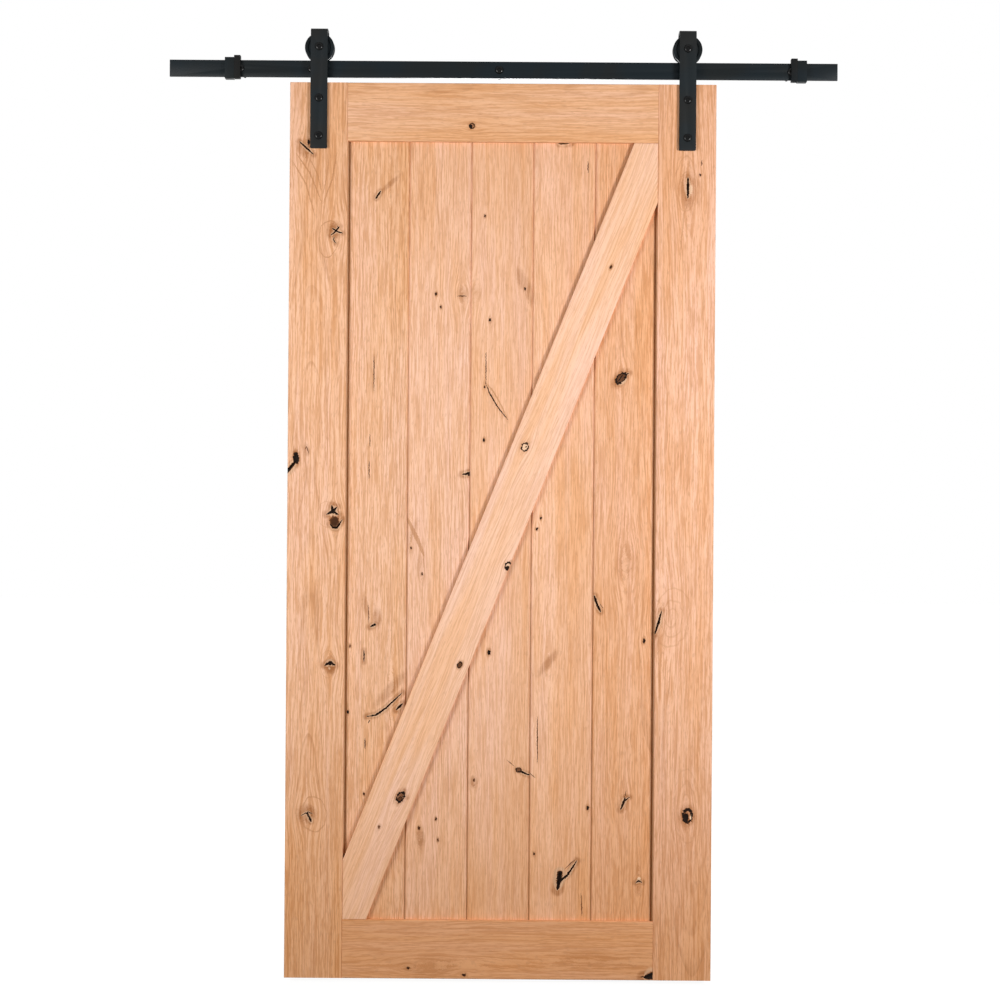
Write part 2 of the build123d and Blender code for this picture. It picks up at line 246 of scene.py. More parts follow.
# Photograph to object
def camera_axes():
    """The camera's right, up and forward directions."""
    reach = math.cos(CAMERA_PITCH)
    rise = math.sin(CAMERA_PITCH)
    forward = Vector((math.sin(CAMERA_YAW) * reach, math.cos(CAMERA_YAW) * reach, rise))
    level = Vector((math.cos(CAMERA_YAW), -math.sin(CAMERA_YAW), 0.0))
    upright = level.cross(forward)
    right = level * math.cos(CAMERA_ROLL) + upright * math.sin(CAMERA_ROLL)
    up = upright * math.cos(CAMERA_ROLL) - level * math.sin(CAMERA_ROLL)
    return right, up, forward


def on_face(pixel, face_y):
    """The point of the plane y = face_y that shows at a pixel of the photograph."""
    right, up, forward = camera_axes()
    across = (pixel[0] - IMAGE_SIDE / 2) / FOCAL_PIXELS
    above = (IMAGE_SIDE / 2 - pixel[1]) / FOCAL_PIXELS
    ray = forward + right * across + up * above
    return CAMERA_PLACE + ray * ((face_y - CAMERA_PLACE.y) / ray.y)


# Node trees
class Graph:
    """A shader node tree in which a node is made and wired in one call."""

    def __init__(self, tree):
        self.tree = tree

    def add(self, kind, inputs=None, **settings):
        node = self.tree.nodes.new(kind)
        for name, value in settings.items():
            setattr(node, name, value)
        for key, value in (inputs or {}).items():
            self.feed(node.inputs[key], value)
        return node

    def feed(self, socket, value):
        if isinstance(value, bpy.types.NodeSocket):
            self.tree.links.new(value, socket)
        else:
            socket.default_value = value

    def math(self, operation, *values):
        return self.add("ShaderNodeMath", dict(enumerate(values)), operation=operation).outputs[0]

    def vector(self, operation, *values):
        node = self.add("ShaderNodeVectorMath", dict(enumerate(values)), operation=operation)
        scalar = operation in ("DOT_PRODUCT", "LENGTH")
        return node.outputs["Value" if scalar else "Vector"]

    def plus(self, first, second):
        return self.math("ADD", first, second)

    def minus(self, first, second):
        return self.math("SUBTRACT", first, second)

    def times(self, first, second):
        return self.math("MULTIPLY", first, second)

    def times_plus(self, first, second, third):
        return self.math("MULTIPLY_ADD", first, second, third)

    def dot(self, first, second):
        return self.vector("DOT_PRODUCT", first, second)

    def local(self):
        """The place on the piece, in the frame of the model."""
        return self.add("ShaderNodeTexCoord").outputs["Object"]

    def combine(self, x, y, z=0.0):
        return self.add("ShaderNodeCombineXYZ", {"X": x, "Y": y, "Z": z}).outputs[0]

    def smooth(self, value, low, high, start=0.0, end=1.0):
        """A soft step from start at low to end at high."""
        inputs = {"Value": value, "From Min": low, "From Max": high, "To Min": start, "To Max": end}
        return self.add("ShaderNodeMapRange", inputs, interpolation_type="SMOOTHSTEP").outputs[0]

    def fade(self, value, low, high):
        """A soft step from 1 at low to 0 at high."""
        return self.smooth(value, low, high, 1.0, 0.0)

    def noise(self, vector, scale=1.0, detail=2.0, rough=0.5):
        inputs = {"Vector": vector, "Scale": scale, "Detail": detail, "Roughness": rough}
        return self.add("ShaderNodeTexNoise", inputs).outputs[0]

    def swing(self, vector, reach):
        """Noise about zero, mostly within plus or minus a quarter of its reach."""
        return self.times(self.minus(self.noise(vector), 0.5), reach)

    def raise_by(self, height, distance, shader):
        """Gives a surface the fine relief of a height."""
        inputs = {"Strength": BUMP_STRENGTH, "Distance": distance, "Height": height}
        self.feed(shader.inputs["Normal"], self.add("ShaderNodeBump", inputs).outputs[0])

    def mix(self, share, first, second, blend="MIX"):
        inputs = {"Fac": share, "Color1": first, "Color2": second}
        return self.add("ShaderNodeMixRGB", inputs, blend_type=blend).outputs[0]

    def shade(self, share, colour, filter_colour):
        """The colour, seen through a filter by a share."""
        return self.mix(share, colour, self.mix(1.0, colour, rgba(filter_colour), "MULTIPLY"))


def rgba(colour):
    return (*colour, 1.0)


def new_material(name):
    material = bpy.data.materials.new(name)
    material.use_nodes = True
    return material, Graph(material.node_tree), material.node_tree.nodes["Principled BSDF"]


def new_group(name, inputs, outputs):
    """An empty node group, with its graph and its input and output nodes."""
    tree = bpy.data.node_groups.new(name, "ShaderNodeTree")
    for label in inputs:
        vector = label in ("Place", "Centre", "Across", "Along", "Reach", "Start", "End")
        kind = "NodeSocketVector" if vector else "NodeSocketFloat"
        tree.interface.new_socket(name=label, in_out="INPUT", socket_type=kind)
    for label in outputs:
        tree.interface.new_socket(name=label, in_out="OUTPUT", socket_type="NodeSocketFloat")
    graph = Graph(tree)
    source = graph.add("NodeGroupInput").outputs
    sink = graph.add("NodeGroupOutput").inputs
    return tree, graph, source, sink


def knot_group():
    """A knot: a dark heart, a pale heart that is partly a painted highlight, outlines, a warm halo, and
    the pull it has on the grain.
    """
    uneven = ("Place", "Grit", "Wave")
    shape = ("Centre", "Across", "Along", "Reach")
    inputs = (*uneven, *shape, "Dark", "Rim", "Ring", "Rings", "Warm", "Light")
    tree, g, source, sink = new_group("Knot", inputs, ("Core", "Ring", "Halo", "Pale", "Pull"))
    offset = g.vector("SUBTRACT", source["Place"], source["Centre"])
    beside = g.dot(offset, source["Across"])
    above = g.dot(offset, source["Along"])
    size = g.math("SQRT", g.times_plus(beside, beside, g.times(above, above)))
    radius = g.plus(size, source["Grit"])
    heart = g.fade(radius, *KNOT_HEART)
    edge = g.math("ABSOLUTE", g.minus(radius, KNOT_EDGE))
    oval = g.plus(size, source["Wave"])
    nested = g.times(g.minus(oval, KNOT_EDGE), source["Rings"])
    between = g.math("ABSOLUTE", g.minus(nested, g.math("ROUND", nested)))
    outline = g.fade(g.math("DIVIDE", between, source["Rings"]), *OUTLINE)
    within = g.times(g.smooth(oval, *OUTLINES_FROM), g.fade(oval, *OUTLINES_TO))
    outline = g.times(outline, within)
    rim = g.times(g.fade(edge, *KNOT_RIM), source["Rim"])
    g.feed(sink["Core"], g.math("MAXIMUM", g.times(heart, source["Dark"]), rim))
    g.feed(sink["Ring"], g.times(outline, source["Ring"]))
    g.feed(sink["Halo"], g.times(g.fade(radius, *KNOT_HALO), source["Warm"]))
    g.feed(sink["Pale"], g.times(heart, source["Light"]))
    spread = g.vector("DIVIDE", offset, source["Reach"])
    strength = g.math("EXPONENT", g.times(g.dot(spread, spread), -1.0))
    strength = g.times(strength, g.smooth(source["Warm"], 0.0, 0.2, 0.0, PULL))
    sideways = g.dot(offset, (1.0, 0.0, 0.0))
    g.feed(sink["Pull"], g.times(sideways, strength))
    return tree


def crack_group():
    """One run of a crack; Head and Tail place it in the whole, which thins towards 0 and 1."""
    inputs = ("Place", "Ragged", "Start", "End", "Width", "Head", "Tail", "Dark")
    tree, g, source, sink = new_group("Crack", inputs, ("Core", "Pale", "Halo"))
    run = g.vector("SUBTRACT", source["End"], source["Start"])
    here = g.vector("SUBTRACT", source["Place"], source["Start"])
    share = g.math("DIVIDE", g.dot(here, run), g.dot(run, run))
    share = g.add("ShaderNodeClamp", {"Value": share}).outputs[0]
    along = g.add("ShaderNodeVectorMath", {0: run, "Scale": share}, operation="SCALE").outputs["Vector"]
    reach = g.vector("LENGTH", g.vector("SUBTRACT", here, along))
    length = g.minus(source["Tail"], source["Head"])
    whole = g.times_plus(share, length, source["Head"])
    swell = g.math("POWER", g.math("SINE", g.times(whole, math.pi)), SWELL_POWER)
    swell = g.times_plus(swell, 1.0 - CRACK_THIN, CRACK_THIN)
    width = g.times(source["Width"], swell)
    gap = g.plus(g.math("DIVIDE", reach, width), source["Ragged"])
    g.feed(sink["Core"], g.times(g.fade(gap, *CRACK_EDGE), source["Dark"]))
    # A pale lip beside dark cracks: paler torn fibre, and a painted highlight on the lit edge
    light = g.times(g.smooth(gap, *CRACK_LIP), g.fade(gap, *CRACK_LIP_END))
    g.feed(sink["Pale"], g.times(light, g.smooth(source["Dark"], 0.85, 1.0, 0.0, 0.4)))
    smudge = g.smooth(g.minus(reach, source["Width"]), 0.0, SMUDGE_REACH, SMUDGE, 0.0)
    g.feed(sink["Halo"], g.times(smudge, g.smooth(source["Dark"], 0.7, 1.0)))
    return tree


# Marks in the wood, at pixels of the photograph, with half sizes and widths in millimetres
def knot(
    x, y, across, along, tilt=0.0, dark=0.0, rim=0.0, ring=0.0, rings=1.0, halo=0.0, pale=0.0, pit=0.0
):
    """A knot or a part of one; tilt is in degrees to the right of its plank's grain."""
    return {
        "pixels": [(x, y)],
        "half": (across * MM, along * MM),
        "tilt": -math.radians(tilt),
        "pit": pit * MM,
        "look": {"Dark": dark, "Rim": rim, "Ring": ring, "Rings": rings, "Warm": halo, "Light": pale},
    }


def pin(x, y, size=3.0, dark=0.7):
    """A pin knot, no more than a dark fleck."""
    return knot(x, y, size * 0.9, size * 1.4, dark=dark, halo=0.6)


def crack(width, *pixels, head=0.0, tail=1.0, dark=1.0, pit=0.0, vein=False):
    """A crack through several points, or a vein of late wood; head and tail cut off its thin ends."""
    shape = {"pixels": pixels, "width": width * MM, "head": head, "tail": tail}
    return {**shape, "dark": dark, "pit": pit * MM, "vein": vein}


def vein(strength, *pixels, width=3.0):
    """A brown line of late wood through several points."""
    return crack(width, *pixels, dark=strength, vein=True)


MARKS = {}
MARKS["left_stile"] = [
    crack(3.4, (299.5, 141.5), (313.5, 154.5), pit=3.5),
    knot(308.6, 142, 3.2, 6.5, dark=0.85, halo=0.6),
    crack(3.2, (330.5, 235.5), (336, 231), (339.5, 226.5), pit=2),
    crack(2.8, (335.5, 231), (342.5, 233), head=0.2),
    crack(2.2, (332, 228), (337, 231.5)),
    crack(1.8, (337.5, 225.5), (338.5, 229)),
    crack(2, (334.5, 236), (333.5, 240), (336, 243.5)),
    knot(335, 231, 10, 13, halo=0.9),
    knot(304, 149, 9, 15, tilt=-35, halo=0.6),
    vein(1, (296, 153), (310, 173), (322, 203)),
    vein(0.85, (292, 160), (306, 184), (315, 216)),
    vein(1, (337, 152), (332, 180), (323, 204)),
    vein(0.85, (309, 157), (317, 173), (322, 192)),
    vein(0.75, (329, 158), (327, 176), (323, 194)),
    knot(307, 450, 4.5, 9, tilt=-8, ring=0.9, halo=0.6),
    knot(329, 238, 25, 46, tilt=8, ring=0.9),
    knot(296, 458, 6.4, 12.5, tilt=-6, dark=0.92, rim=1, halo=0.9, pit=2.5),
    crack(7, (295, 462), (287, 471.5), head=0.12, tail=0.62, pit=3),
    crack(1.6, (305, 449.5), (306.5, 446.5), (309, 454), dark=0.6),
    crack(1.4, (307, 447), (308.5, 452), dark=0.5),
    crack(6.2, (333, 512), (331.8, 505.5), head=0.45),
    crack(5, (333, 511), (337, 506.8), head=0.45),
    crack(5.4, (333.5, 511), (326.5, 514.5), head=0.45),
    crack(5.4, (332.5, 511), (338.5, 514.8), head=0.45),
    knot(333, 510.5, 5, 5.5, dark=1, halo=0.8, pit=2.5),
    knot(334.5, 521.5, 10, 11.5, dark=0.62, rim=0.5, halo=0.8),
    crack(4.4, (330, 524), (333, 527.5), (337, 527.5), (342.5, 519.5), pit=2),
    knot(327, 515, 22, 34, ring=0.45),
    crack(5.4, (324.5, 665.5), (330, 662.3), (335.3, 665.3), pit=1.5),
    knot(330, 664, 4, 4, dark=1, halo=0.9),
    knot(329.5, 668.5, 3, 3.6, pale=0.5),
    knot(331, 666, 9, 11, halo=0.8),
    knot(328, 664, 19, 33, ring=0.45),
    crack(2.2, (300.5, 816), (304, 814), (308, 812), (312.5, 813.8)),
    crack(4, (307, 813), (309, 817), (311, 821), head=0.2, tail=0.75, pit=1.5),
    knot(306.5, 814, 13, 13, halo=0.9),
    knot(314, 814.5, 31, 43, ring=0.8),
]
MARKS["right_stile"] = [
    crack(5, (688, 177), (688, 198.5), pit=4),
    knot(690.8, 189, 4.5, 13, pale=0.55),
    knot(688, 189, 12, 26, halo=0.5),
    knot(686, 184, 27, 66, ring=0.5, rings=2),
    vein(0.65, (688, 203), (684, 214), (682, 235), (680, 263), width=3.6),
    knot(672, 618, 43, 74, tilt=8, ring=0.4, rings=3),
    crack(1.8, (702, 160), (701.5, 166), dark=0.6),
    pin(700, 175, 2.6, 0.7),
    crack(4.4, (661.6, 610.5), (658.5, 622.5), (654.8, 634.5), pit=3),
    knot(658.7, 622.5, 3.4, 5, tilt=14, dark=1, halo=0.4),
    knot(662, 624, 16, 36, tilt=15, ring=0.4, halo=0.15),
    knot(687.5, 816, 11.5, 15.5, rim=1, halo=0.8),
    knot(685.8, 817.5, 7, 12, dark=1, pit=2),
    knot(691, 817, 3.4, 6.2, pale=1),
    knot(686, 806, 32, 90, ring=0.35, rings=3),
    pin(654, 489, 4),
]
MARKS["top_rail"] = [
    knot(472, 126, 6.5, 6.2, dark=0.3, rim=1, halo=0.6),
    knot(471, 126.5, 5.5, 3.6, dark=1, pit=1.2),
]
MARKS["bottom_rail"] = [
    pin(408, 968, 3.6),
    pin(464, 975, 4.2),
    crack(1.8, (639.8, 976.9), (647, 976.7), dark=0.8),
    crack(13, (644, 977.6), (652.5, 975.6), tail=0.5, pit=3),
    knot(600, 962, 16, 70, halo=0.15),
    knot(430, 966, 14, 40, halo=0.2),
]
MARKS["front_brace"] = [
    pin(611, 267, 3.6, 0.6),
    knot(525, 447, 8, 10, tilt=8, rim=1, pale=0.6, halo=0.3),
    pin(526, 447, 1.6, 0.7),
    knot(508, 566, 7, 9.3, rim=1, pale=0.5, halo=0.4),
    knot(507.6, 568, 5.2, 5.6, dark=1, pit=1.2),
    knot(459.7, 665, 5.4, 7.2, dark=0.5, rim=0.9, halo=0.6),
    knot(400.5, 797, 8.3, 13, tilt=12, dark=0.35, rim=0.9, halo=0.8),
    knot(400, 799, 4, 6.5, tilt=12, dark=0.5, rim=0.9),
    crack(2.6, (402, 796), (406, 797)),
    crack(3, (402, 794), (404.2, 791.2)),
    pin(379, 827, 3.6, 0.45),
    knot(431, 738, 5, 6, halo=0.15),
]
MARKS["panel_board_1"] = [
    crack(3.4, (376.2, 198), (380.5, 191.5), head=0.2, tail=0.85, pit=2),
    knot(390, 184, 3.5, 19, tilt=48, halo=0.55),
    crack(1.7, (374, 356), (374, 391), dark=0.8),
    crack(1.5, (370, 434), (370, 447), dark=0.75),
    crack(1.5, (369, 461), (369, 479), dark=0.75),
    crack(1.8, (368.2, 605), (369, 624), dark=0.5),
    crack(4, (370, 627), (373, 625.5), (376, 623.8), pit=1.2),
    knot(374.8, 624.6, 3.4, 3.6, dark=1),
    knot(377, 618, 7, 14, halo=0.55),
    knot(366, 606, 4, 14, tilt=-12, halo=0.5),
    crack(2.4, (364, 650), (364, 662), dark=0.9),
    pin(350, 646, 3, 0.4),
    crack(3.6, (366.5, 716.5), (376, 715), (386, 708), (402.5, 692.5), pit=2.5),
    crack(4.4, (396, 710), (402.5, 703.5), pit=1.5),
    crack(2.4, (368, 723), (370, 720), dark=0.7),
    knot(391, 689, 7.5, 30, tilt=42, halo=0.6),
    pin(347.8, 712, 3.4, 0.95),
    crack(2, (365, 738), (365, 749), dark=0.75),
    pin(364, 794, 3),
]
MARKS["panel_board_2"] = [
    pin(441, 307, 2.8),
    pin(436, 294, 3),
    crack(2, (457, 296), (467, 296), dark=0.6),
    knot(463, 294, 10, 11, halo=0.3),
    vein(0.9, (404, 512), (413, 530), (419, 543), (424, 556), width=8),
    knot(411, 535, 5, 26, tilt=24, halo=0.35),
    knot(420, 565, 6, 16, halo=0.25),
    pin(411, 548, 2.4),
    pin(422, 574, 2.6, 0.7),
    crack(4.4, (462, 474.3), (466, 474), (470.8, 472), pit=1.2),
    knot(468.8, 474.3, 3.4, 4.8, dark=0.9, halo=0.6),
    pin(419, 828, 3.4, 0.6),
    knot(420, 838, 6, 12, halo=0.5),
    pin(436, 819, 2.8),
    pin(438, 840, 2.8, 0.5),
]
MARKS["panel_board_3"] = [
    pin(485, 216, 2.8),
    knot(525, 289, 2.6, 4.2, dark=0.8, halo=0.8),
    knot(522, 280, 6, 17, tilt=-15, halo=0.55),
    knot(530, 294, 5, 18, tilt=-10, halo=0.5),
    knot(476, 292, 8, 12, halo=0.25),
    pin(490, 320, 3.4, 0.9),
    crack(2, (486, 352), (486, 384), dark=0.6, pit=1.2),
    crack(2.6, (485.5, 383), (490, 394), (497, 406), (508, 420), dark=0.8, pit=1.4),
    vein(0.9, (486, 383), (493, 391), (500, 403), (507, 418)),
    knot(484.6, 387, 2.2, 4, dark=0.7, halo=0.3),
    pin(484, 440, 3.2, 0.85),
    pin(489, 652.5, 4.6, 0.9),
    pin(474, 780, 3.2, 0.5),
    knot(473, 782, 6, 9, halo=0.55),
    knot(518.5, 770, 6.5, 5.5, dark=0.45, rim=0.9, halo=0.5),
    crack(3.2, (521, 771.5), (525, 773.3), (529.5, 775), head=0.3, tail=0.85, pit=1.2),
    crack(1.4, (507, 760), (515, 767), dark=0.45),
]
MARKS["panel_board_4"] = [
    crack(5.4, (559.5, 143), (570.5, 143), head=0.25, pit=2),
    crack(2, (588, 161), (588, 173), dark=0.6),
    knot(548, 663, 5.5, 24, tilt=38, halo=0.5),
    pin(541, 518, 2.8, 0.9),
    knot(537, 529, 3, 3.6, dark=0.95, halo=0.9),
    crack(1.6, (529.5, 773), (535, 777.5), dark=0.6),
    crack(2, (537.3, 716), (537.3, 764), dark=0.5, pit=1.2),
    pin(587.8, 808, 3.8, 0.9),
    crack(10, (557.4, 890), (558.8, 881), (560, 873), tail=0.62, pit=4),
    knot(560, 874.5, 5, 4.4, dark=0.75, halo=0.6),
    crack(4.4, (560.5, 880.5), (567, 875.5), (572, 868), (577, 860.5), head=0.42, pit=2),
    crack(1.6, (564.5, 869), (575, 859.5), dark=0.6),
    pin(534, 854, 3),
    crack(2, (581, 893), (582, 916), dark=0.45),
]
MARKS["panel_board_5"] = [
    knot(622.2, 380.4, 9, 15, tilt=42, pale=0.45),
    knot(620.8, 378.2, 9, 15.5, tilt=42, dark=0.5, rim=0.9, halo=0.9, pit=1.5),
    crack(2.6, (617.5, 382), (620.5, 378), (623, 374.5)),
    crack(2.4, (624, 375.5), (629.5, 373)),
    crack(4.6, (594.3, 596), (597, 604.5), (600.5, 611.5), head=0.05, tail=0.95, pit=2.6),
    crack(1.4, (600, 604), (603, 608), dark=0.6),
    knot(626, 563, 15, 24, ring=0.45, halo=0.2),
    pin(644, 641, 4.2, 0.78),
    crack(4.2, (620.5, 810), (624, 801.5), (625.5, 797.5), pit=2.4),
    crack(2.4, (622.5, 803), (629.5, 797)),
    knot(623.5, 803, 7, 13, tilt=15, halo=0.5),
    crack(1.4, (624, 800), (626, 791), dark=0.6),
    crack(3.4, (635.5, 883), (638.5, 880.8), (642, 882.5)),
    knot(639, 878.5, 5, 4.2, pale=0.8),
    knot(639, 890, 5, 9, halo=0.45),
    knot(638, 870, 4, 9, halo=0.3),
    knot(638, 884, 14, 26, ring=0.4),
]

# How each plank was cut: pith beside its middle, pith behind its face, lean of the log, ring width,
# the strength of its grain, its tint, and how strong the shade painted on it near the door's top and
# bottom is
GRAIN_COLUMNS = ("pith", "behind", "lean", "ring", "grain", "tint", "amber")
GRAIN_ROWS = {
    "left_stile": (0.012, 0.070, 0.030, 0.0062, 1.0, (0.98, 0.97, 0.95), 0.9),
    "right_stile": (-0.022, 0.080, -0.026, 0.0062, 1.0, (0.975, 0.95, 0.965), 1.0),
    "top_rail": (0.060, 0.075, 0.020, 0.0055, 0.75, (0.96, 0.94, 0.88), 0.8),
    "bottom_rail": (-0.016, 0.055, -0.042, 0.0062, 0.75, (0.94, 0.89, 0.84), 1.2),
    "panel_board_1": (-0.120, 0.060, 0.012, 0.0060, 1.0, (0.985, 0.98, 0.95), 0.7),
    "panel_board_2": (0.085, 0.090, 0.018, 0.0064, 0.8, (1.0, 1.01, 1.04), 0.7),
    "panel_board_3": (-0.090, 0.075, -0.022, 0.0064, 0.75, (0.99, 0.985, 0.985), 0.8),
    "panel_board_4": (0.075, 0.080, 0.016, 0.0062, 0.8, (1.01, 1.0, 0.99), 0.7),
    "panel_board_5": (-0.060, 0.060, -0.014, 0.0062, 0.95, (0.96, 0.905, 0.85), 0.7),
    "front_brace": (0.140, 0.080, 0.010, 0.0070, 0.55, (1.03, 1.07, 1.13), 0.6),
    "back_brace": (-0.130, 0.080, 0.014, 0.0068, 0.5, (1.03, 1.05, 1.08), 0.5),
}
GRAIN = {name: dict(zip(GRAIN_COLUMNS, row)) for name, row in GRAIN_ROWS.items()}

# Boards glued up from two strips: the pixel of the glue line at the board's top, and the tint beyond it
GLUE_LINES = {
    "panel_board_3": ((509, 142), (0.965, 0.945, 0.92)),
    "panel_board_4": ((561, 142), (0.96, 0.93, 0.89)),
    "panel_board_5": ((609, 142), (0.98, 0.965, 0.94)),
}


# Planks
def along_grain(name):
    """The direction that a plank's fibres run in."""
    mesh = clean_copy(name)
    start, end = max(mesh.edges, key=lambda edge: edge.calc_length()).verts
    run = (end.co - start.co).normalized()
    mesh.free()
    return run if max(run, key=abs) > 0 else -run


def plank_axes(name):
    """Directions across and along the grain, and the middle of the plank."""
    along = along_grain(name)
    across = Vector((0, -1, 0)).cross(along)
    low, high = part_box(name)
    return across, along, (low + high) / 2


def shaded_edges():
    """Edges beside which shade is painted on the panel: a direction, the place along it, and the fade.
    """
    brace, _, _ = plank_axes("front_brace")
    mesh = clean_copy("front_brace")
    brace_reach = max(vertex.co.dot(brace) for vertex in mesh.verts)
    mesh.free()
    side = Vector((1, 0, 0))
    stiles = [(side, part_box("left_stile")[1].x), (side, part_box("right_stile")[0].x)]
    edge_shades = [(*edge, *STILE_SHADE_FADE) for edge in stiles]
    return edge_shades + [(brace, brace_reach, *BRACE_SHADE_FADE)]


def front_face(name):
    """The plane of a plank that faces the room."""
    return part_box(name)[0].y


def mark_groups(mark, flat, groups):
    """The node groups, with their inputs, that draw one mark."""
    points = [flat(pixel) for pixel in mark["pixels"]]
    if "half" in mark:
        across, along = mark["half"]
        turn = mark["tilt"]
        inputs = {
            "Centre": points[0],
            "Across": (math.cos(turn) / across, -math.sin(turn) / across, 0.0),
            "Along": (math.sin(turn) / along, math.cos(turn) / along, 0.0),
            "Reach": (PULL_REACH[0] * across, PULL_REACH[1] * along, 1.0),
            **mark["look"],
        }
        return [(groups["knot"], inputs)]
    runs = len(points) - 1
    made = []
    for index, (start, end) in enumerate(zip(points, points[1:])):
        reach = mark["tail"] - mark["head"]
        inputs = {
            "Start": start,
            "End": end,
            "Width": mark["width"],
            "Head": mark["head"] + reach * index / runs,
            "Tail": mark["head"] + reach * (index + 1) / runs,
            "Dark": mark["dark"],
        }
        made.append((groups["crack"], inputs))
    return made


def plank_marks(g, name, place, front, groups):
    """What all the marks of a plank add up to at a place on it, as far as it is the front."""
    across, along, _ = plank_axes(name)

    def flat(pixel):
        point = on_face(pixel, front_face(name))
        return (point.dot(across), point.dot(along), 0.0)

    def uneven(scale, reach):
        return g.swing(g.vector("MULTIPLY", place, (scale, scale, 0.0)), reach)

    shake = g.combine(*(uneven(scale, MARK_SHAKE) for scale in SHAKE_SCALES))
    shared = {
        "Place": g.vector("ADD", place, shake),
        "Ragged": uneven(*RAGGED),
        "Grit": uneven(*GRIT),
        "Wave": uneven(*WAVE),
    }
    found = {"Core": 0.0, "Ring": 0.0, "Halo": 0.0, "Pale": 0.0, "Pull": 0.0}
    for mark in MARKS.get(name, []):
        for tree, inputs in mark_groups(mark, flat, groups):
            made = g.add("ShaderNodeGroup", node_tree=tree)
            for socket in made.inputs:
                g.feed(socket, {**shared, **inputs}[socket.name])
            for output in made.outputs:
                key = "Ring" if mark.get("vein") else output.name
                operation = "ADD" if key == "Pull" else "MAXIMUM"
                if not mark.get("vein") or output.name == "Core":
                    found[key] = g.math(operation, found[key], output)
    return {key: g.times(value, front) for key, value in found.items()}


def ring_lines(g, name, bent, along, depth, seed):
    """The dark lines of late wood, where the rings of a leaning log meet the plank's faces."""
    cut = GRAIN[name]
    across_axis, along_axis, middle = plank_axes(name)
    lift = g.times(g.minus(along, middle.dot(along_axis)), cut["lean"])
    lift = g.plus(lift, g.swing(g.combine(g.times(along, 1.6), seed * 3.1), 0.05))
    behind = g.minus(g.plus(lift, cut["behind"] + front_face(name)), depth)
    beside = g.minus(bent, middle.dot(across_axis) + cut["pith"])
    ring = g.math("DIVIDE", g.vector("LENGTH", g.combine(beside, behind)), cut["ring"])
    ring = g.plus(ring, g.swing(g.combine(ring, g.times(along, 3.0), seed), 1.6))
    phase = g.math("FRACT", ring)
    number = g.times_plus(g.math("FLOOR", ring), 1.37, seed)
    weight = g.add("ShaderNodeTexWhiteNoise", {"W": number}, noise_dimensions="1D").outputs["Value"]
    line = g.times(g.smooth(phase, *LATE_RISE), g.fade(phase, *LATE_FALL))
    fade = g.smooth(g.noise(g.combine(g.times(along, 4.0), number)), 0.35, 0.62, 0.3, 1.0)
    return g.times(g.times(line, fade), g.times_plus(weight, 0.8, 0.2))


